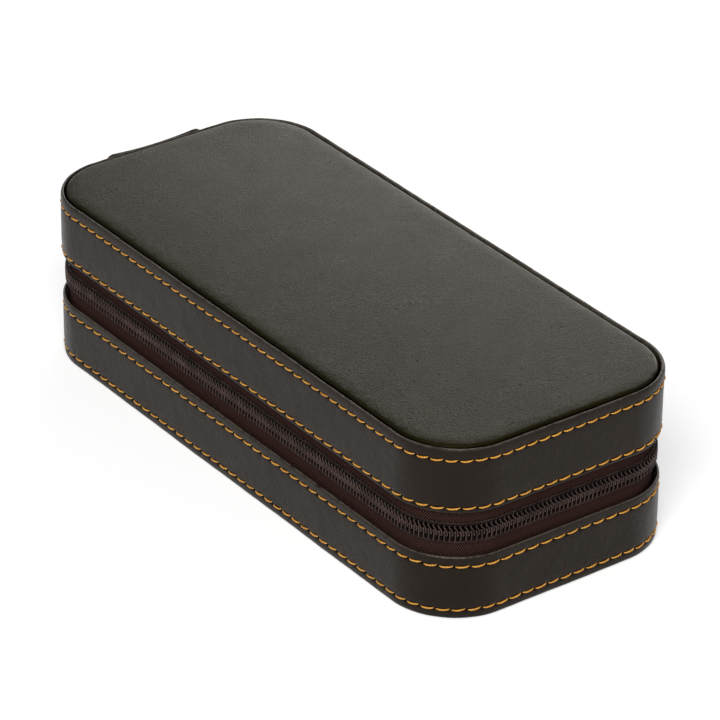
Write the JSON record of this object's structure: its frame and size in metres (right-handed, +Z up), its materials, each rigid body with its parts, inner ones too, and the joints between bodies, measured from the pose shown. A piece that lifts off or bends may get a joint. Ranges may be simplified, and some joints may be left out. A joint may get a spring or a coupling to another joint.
{
  "type": "watch travel case",
  "caption": "Rigid leather-covered zip-around case with rounded corners, a leather hinge flap and a lined room with watch cushions.",
  "frame": {"origin": "middle of the underside, on the surface the case lies on", "axes": "+Z up, +Y along the case's length towards the hinge flap, -Y the front end where the lid lifts, +X the long side that carries the zip slider"},
  "size_m": [0.0861, 0.1916, 0.0513],
  "materials": {
    "case_leather": "fine-grained dark brown leather, semi-matt",
    "board": "stiff moulded board, covered on both sides",
    "lining_fabric": "short-pile suede-like lining",
    "pillow_fabric": "short-pile suede-like cushion cover",
    "zip_tape": "dark brown woven zip tape",
    "zip_coil": "dark brown nylon coil",
    "zip_metal": "dark nickel-plated zinc"
  },
  "bodies": {
    "base": {"base_shell": "board", "base_side_band": "case_leather", "base_bottom_panel": "case_leather", "base_lining": "lining_fabric", "centre_divider": "lining_fabric", "front_pillow": "pillow_fabric", "back_pillow": "pillow_fabric", "base_zip_tape": "zip_tape", "base_zip_coil": "zip_coil", "base_zip_coil_side": "zip_coil", "base_zip_stops": "zip_metal", "hinge_flap_base": "case_leather", "hinge_ribbon_base": "lining_fabric"},
    "lid": {"lid_shell": "board", "lid_side_band": "case_leather", "lid_top_panel": "case_leather", "lid_lining": "lining_fabric", "lid_pad": "lining_fabric", "lid_zip_tape": "zip_tape", "lid_zip_coil": "zip_coil", "lid_zip_coil_side": "zip_coil", "lid_zip_stops": "zip_metal", "hinge_flap_lid": "case_leather", "hinge_ribbon_lid": "lining_fabric"},
    "zip_slider": {"zip_slider_body": "zip_metal", "zip_slider_bridge": "zip_metal"},
    "zip_pull": {"zip_pull_tab": "zip_metal"}
  },
  "joints": [
    {"name": "lid_hinge", "type": "hinge", "parent": "base", "child": "lid", "pos_m": [0, 0.097, 0.0252], "axis": [-1, 0, 0], "range_deg": [0, 179]},
    {"name": "slider_travel", "type": "slide", "parent": "base", "child": "zip_slider", "axis": [0, -1, 0], "range_m": [0, 0.136], "deforming": ["base_zip_coil_side", "lid_zip_coil_side"]},
    {"name": "pull_hinge", "type": "hinge", "parent": "zip_slider", "child": "zip_pull", "pos_m": [0.04285, 0.0674, 0.0252], "axis": [0, 0, 1], "range_deg": [0, 180]}
  ]
}
